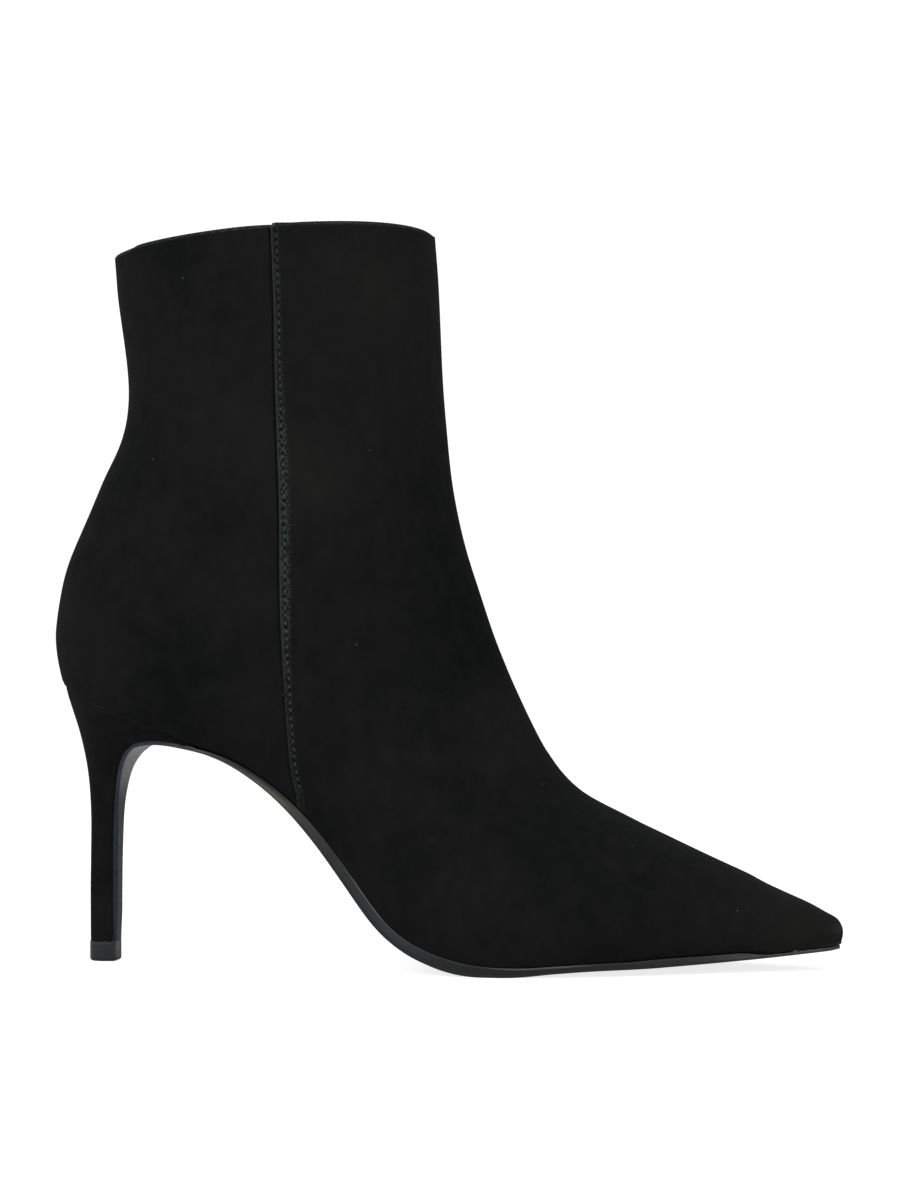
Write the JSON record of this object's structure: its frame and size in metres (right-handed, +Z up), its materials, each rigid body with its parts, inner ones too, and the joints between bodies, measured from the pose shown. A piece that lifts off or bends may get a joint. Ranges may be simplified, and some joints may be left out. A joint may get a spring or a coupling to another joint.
{
  "type": "ankle boot",
  "caption": "Right-foot ankle boot of black suede with a pointed toe, a lapped side seam, a thin smooth sole and a slim stiletto heel.",
  "frame": {"origin": "on the floor, under the middle of the boot's box", "axes": "+X from the heel to the toe, +Y to the inner side of the foot, +Z up"},
  "size_m": [0.2392, 0.0756, 0.2234],
  "materials": {
    "suede": "matt napped suede",
    "sole_leather": "smooth, painted black, satin edge",
    "heel_rubber": "hard, satin",
    "insole_leather": "smooth lining leather"
  },
  "bodies": {
    "root": {"upper": "suede", "outsole": "sole_leather", "heel": "suede", "top_piece": "heel_rubber", "insole": "insole_leather"}
  },
  "joints": []
}
